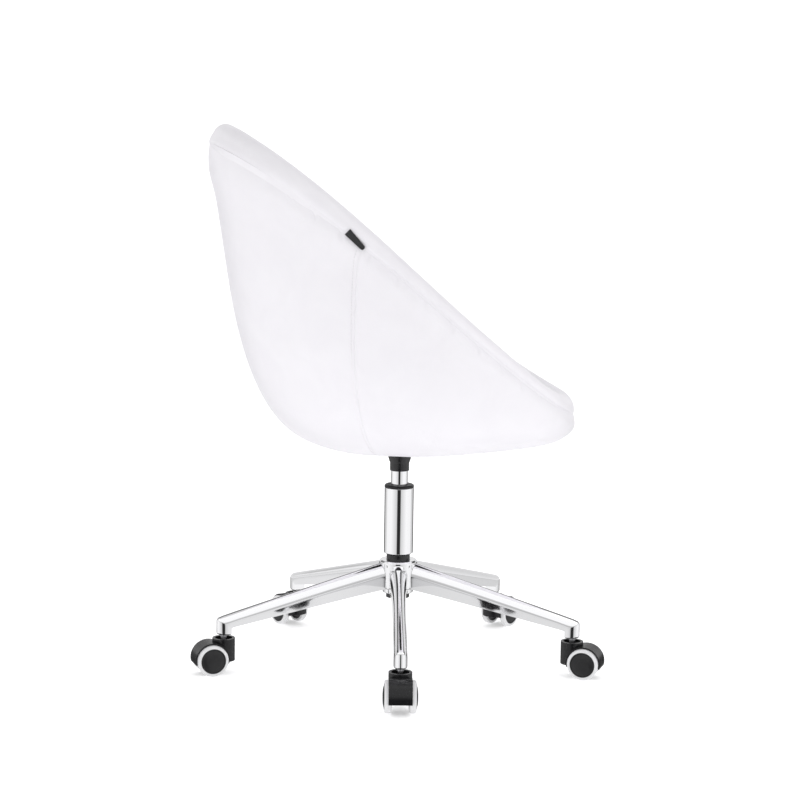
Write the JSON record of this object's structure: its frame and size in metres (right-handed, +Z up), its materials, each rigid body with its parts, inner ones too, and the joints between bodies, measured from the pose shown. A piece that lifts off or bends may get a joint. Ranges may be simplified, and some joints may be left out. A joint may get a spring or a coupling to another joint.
{
  "type": "swivel tub chair",
  "caption": "Round padded bucket seat in white leather with a slanting rim, on a gas lift and a chromed star base with twin-wheel casters.",
  "frame": {"origin": "on the floor, under the middle of the chair's bounding box", "axes": "+Z up; the seat faces -Y, so the sitter's right side faces -X"},
  "size_m": [0.6611, 0.677, 0.8907],
  "materials": {
    "base_metal": "polished",
    "column_chrome": "polished",
    "steel": "satin",
    "black_plastic": "gloss",
    "wheel_plastic": "satin",
    "tread_rubber": "satin",
    "socket_black": "gloss",
    "plate_paint": "satin",
    "white_leather": "satin",
    "padded_leather": "satin",
    "moulded_shell": "matte",
    "black_ribbon": "matte"
  },
  "bodies": {
    "base": {"base_hub": "base_metal", "lift_column": "column_chrome", "column_bush": "black_plastic", "thrust_bearing": "steel", "base_arm_1": "base_metal", "base_arm_2": "base_metal", "base_arm_3": "base_metal", "base_arm_4": "base_metal", "base_arm_5": "base_metal", "caster_stem_1": "steel", "caster_stem_2": "steel", "caster_stem_3": "steel", "caster_stem_4": "steel", "caster_stem_5": "steel"},
    "spindle": {"piston_rod": "steel"},
    "seat": {"gas_cylinder": "column_chrome", "plate_socket": "socket_black", "seat_plate": "plate_paint", "plate_bolt_1": "steel", "plate_bolt_2": "steel", "plate_bolt_3": "steel", "plate_bolt_4": "steel", "outer_cover": "white_leather", "seat_shell": "moulded_shell", "inner_liner": "padded_leather", "seat_cushion": "padded_leather", "side_tag": "black_ribbon"},
    "lever": {"lever_rod": "steel", "lever_grip": "black_plastic"},
    "release_pin": {"release_pin": "steel"},
    "caster_1": {"caster_hood_1": "black_plastic", "caster_axle_1": "steel"},
    "wheel_1_left": {"caster_wheel_1_left": "wheel_plastic", "caster_tread_1_left": "tread_rubber"},
    "wheel_1_right": {"caster_wheel_1_right": "wheel_plastic", "caster_tread_1_right": "tread_rubber"},
    "caster_2": {"caster_hood_2": "black_plastic", "caster_axle_2": "steel"},
    "wheel_2_left": {"caster_wheel_2_left": "wheel_plastic", "caster_tread_2_left": "tread_rubber"},
    "wheel_2_right": {"caster_wheel_2_right": "wheel_plastic", "caster_tread_2_right": "tread_rubber"},
    "caster_3": {"caster_hood_3": "black_plastic", "caster_axle_3": "steel"},
    "wheel_3_left": {"caster_wheel_3_left": "wheel_plastic", "caster_tread_3_left": "tread_rubber"},
    "wheel_3_right": {"caster_wheel_3_right": "wheel_plastic", "caster_tread_3_right": "tread_rubber"},
    "caster_4": {"caster_hood_4": "black_plastic", "caster_axle_4": "steel"},
    "wheel_4_left": {"caster_wheel_4_left": "wheel_plastic", "caster_tread_4_left": "tread_rubber"},
    "wheel_4_right": {"caster_wheel_4_right": "wheel_plastic", "caster_tread_4_right": "tread_rubber"},
    "caster_5": {"caster_hood_5": "black_plastic", "caster_axle_5": "steel"},
    "wheel_5_left": {"caster_wheel_5_left": "wheel_plastic", "caster_tread_5_left": "tread_rubber"},
    "wheel_5_right": {"caster_wheel_5_right": "wheel_plastic", "caster_tread_5_right": "tread_rubber"}
  },
  "joints": [
    {"name": "seat_swivel", "type": "hinge", "parent": "base", "child": "spindle", "pos_m": [0.02091, -0.00745, 0.1186], "axis": [0, 0, 1], "continuous": true},
    {"name": "seat_height", "type": "slide", "parent": "spindle", "child": "seat", "axis": [0, 0, 1], "range_m": [0, 0.11]},
    {"name": "lever_lift", "type": "hinge", "parent": "seat", "child": "lever", "pos_m": [0.04291, -0.00745, 0.3575], "axis": [0, -1, 0], "range_deg": [0, 5]},
    {"name": "pin_press", "type": "slide", "parent": "seat", "child": "release_pin", "axis": [0, 0, -1], "range_m": [0, 0.0025]},
    {"name": "caster_1_swivel", "type": "hinge", "parent": "base", "child": "caster_1", "pos_m": [-0.27808, 0.01713, 0.0586], "axis": [0, 0, 1], "continuous": true},
    {"name": "wheel_1_left_roll", "type": "hinge", "parent": "caster_1", "child": "wheel_1_left", "pos_m": [-0.3008, 0.019, 0.0255], "axis": [-0.0819, -0.9966, 0], "continuous": true},
    {"name": "wheel_1_right_roll", "type": "hinge", "parent": "caster_1", "child": "wheel_1_right", "pos_m": [-0.3008, 0.019, 0.0255], "axis": [-0.0819, -0.9966, 0], "continuous": true},
    {"name": "caster_2_swivel", "type": "hinge", "parent": "base", "child": "caster_2", "pos_m": [-0.09486, -0.28421, 0.0586], "axis": [0, 0, 1], "continuous": true},
    {"name": "wheel_2_left_roll", "type": "hinge", "parent": "caster_2", "child": "wheel_2_left", "pos_m": [-0.10366, -0.30524, 0.0255], "axis": [0.9225, -0.3859, 0], "continuous": true},
    {"name": "wheel_2_right_roll", "type": "hinge", "parent": "caster_2", "child": "wheel_2_right", "pos_m": [-0.10366, -0.30524, 0.0255], "axis": [0.9225, -0.3859, 0], "continuous": true},
    {"name": "caster_3_swivel", "type": "hinge", "parent": "base", "child": "caster_3", "pos_m": [0.24835, -0.20308, 0.0586], "axis": [0, 0, 1], "continuous": true},
    {"name": "wheel_3_left_roll", "type": "hinge", "parent": "caster_3", "child": "wheel_3_left", "pos_m": [0.26564, -0.21795, 0.0255], "axis": [0.6521, 0.7581, 0], "continuous": true},
    {"name": "wheel_3_right_roll", "type": "hinge", "parent": "caster_3", "child": "wheel_3_right", "pos_m": [0.26564, -0.21795, 0.0255], "axis": [0.6521, 0.7581, 0], "continuous": true},
    {"name": "caster_4_swivel", "type": "hinge", "parent": "base", "child": "caster_4", "pos_m": [0.27725, 0.14841, 0.0586], "axis": [0, 0, 1], "continuous": true},
    {"name": "wheel_4_left_roll", "type": "hinge", "parent": "caster_4", "child": "wheel_4_left", "pos_m": [0.29673, 0.16025, 0.0255], "axis": [-0.5195, 0.8545, 0], "continuous": true},
    {"name": "wheel_4_right_roll", "type": "hinge", "parent": "caster_4", "child": "wheel_4_right", "pos_m": [0.29673, 0.16025, 0.0255], "axis": [-0.5195, 0.8545, 0], "continuous": true},
    {"name": "caster_5_swivel", "type": "hinge", "parent": "base", "child": "caster_5", "pos_m": [-0.0481, 0.28451, 0.0586], "axis": [0, 0, 1], "continuous": true},
    {"name": "wheel_5_left_roll", "type": "hinge", "parent": "caster_5", "child": "wheel_5_left", "pos_m": [-0.05335, 0.30669, 0.0255], "axis": [-0.9732, -0.23, 0], "continuous": true},
    {"name": "wheel_5_right_roll", "type": "hinge", "parent": "caster_5", "child": "wheel_5_right", "pos_m": [-0.05335, 0.30669, 0.0255], "axis": [-0.9732, -0.23, 0], "continuous": true}
  ],
  "couplings": [
    {"joint": "pin_press", "follows": "lever_lift", "m_per_rad": 0.022}
  ]
}
